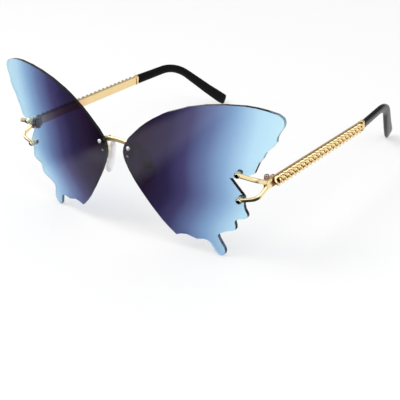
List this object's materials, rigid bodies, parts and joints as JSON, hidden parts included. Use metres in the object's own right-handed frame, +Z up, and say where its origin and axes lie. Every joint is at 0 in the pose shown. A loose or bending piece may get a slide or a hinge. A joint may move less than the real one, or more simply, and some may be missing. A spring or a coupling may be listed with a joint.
{
  "type": "rimless sunglasses",
  "caption": "Rimless butterfly-wing sunglasses with gradient lenses, forked gold endpieces, curb-chain folding temples, black ear tips and rocking nose pads.",
  "frame": {"origin": "on the ground that the open glasses stand on, under the middle of their length and width", "axes": "+X towards the wearer's left, +Y from the lenses to the temple tips, +Z up"},
  "size_m": [0.1536, 0.148, 0.0681],
  "materials": {
    "tinted_lens": "polished, tint fading from plum at the nose to sky blue at the wing tips",
    "gold": "polished pale gold plating",
    "bright_steel": "polished",
    "dark_steel": "blackened",
    "clear_nylon": "clear",
    "black_acetate": "polished",
    "clear_silicone": "soft, clear",
    "pad_core": "satin"
  },
  "bodies": {
    "front": {"bridge": "gold", "bridge_screws": "bright_steel", "bridge_bushes": "clear_nylon", "bridge_nuts": "bright_steel", "left_lens": "tinted_lens", "left_fork": "gold", "left_fork_screws": "dark_steel", "left_fork_bushes": "clear_nylon", "left_fork_washers": "clear_nylon", "left_fork_nuts": "dark_steel", "left_hinge_front": "gold", "left_hinge_screw": "bright_steel", "left_pad_screw": "bright_steel", "left_pad_arm": "gold", "right_lens": "tinted_lens", "right_fork": "gold", "right_fork_screws": "dark_steel", "right_fork_bushes": "clear_nylon", "right_fork_washers": "clear_nylon", "right_fork_nuts": "dark_steel", "right_hinge_front": "gold", "right_hinge_screw": "bright_steel", "right_pad_screw": "bright_steel", "right_pad_arm": "gold"},
    "left_temple": {"left_hinge_rear": "gold", "left_temple_bar": "gold", "left_temple_chain": "gold", "left_temple_collar": "gold", "left_temple_tip": "black_acetate"},
    "left_pad": {"left_nose_pad": "clear_silicone", "left_pad_insert": "pad_core"},
    "right_temple": {"right_hinge_rear": "gold", "right_temple_bar": "gold", "right_temple_chain": "gold", "right_temple_collar": "gold", "right_temple_tip": "black_acetate"},
    "right_pad": {"right_nose_pad": "clear_silicone", "right_pad_insert": "pad_core"}
  },
  "joints": [
    {"name": "left_temple_fold", "type": "hinge", "parent": "front", "child": "left_temple", "pos_m": [0.0651, -0.05533, 0.03432], "axis": [0, 0.0488, 0.9988], "range_deg": [0, 86]},
    {"name": "left_pad_rock", "type": "hinge", "parent": "front", "child": "left_pad", "pos_m": [0.0122, -0.06576, 0.03459], "axis": [-0.4226, -0.9063, 0], "range_deg": [-10, 10]},
    {"name": "right_temple_fold", "type": "hinge", "parent": "front", "child": "right_temple", "pos_m": [-0.0651, -0.05533, 0.03432], "axis": [0, -0.0488, -0.9988], "range_deg": [0, 75]},
    {"name": "right_pad_rock", "type": "hinge", "parent": "front", "child": "right_pad", "pos_m": [-0.0122, -0.06576, 0.03459], "axis": [0.4226, -0.9063, 0], "range_deg": [-10, 10]}
  ]
}
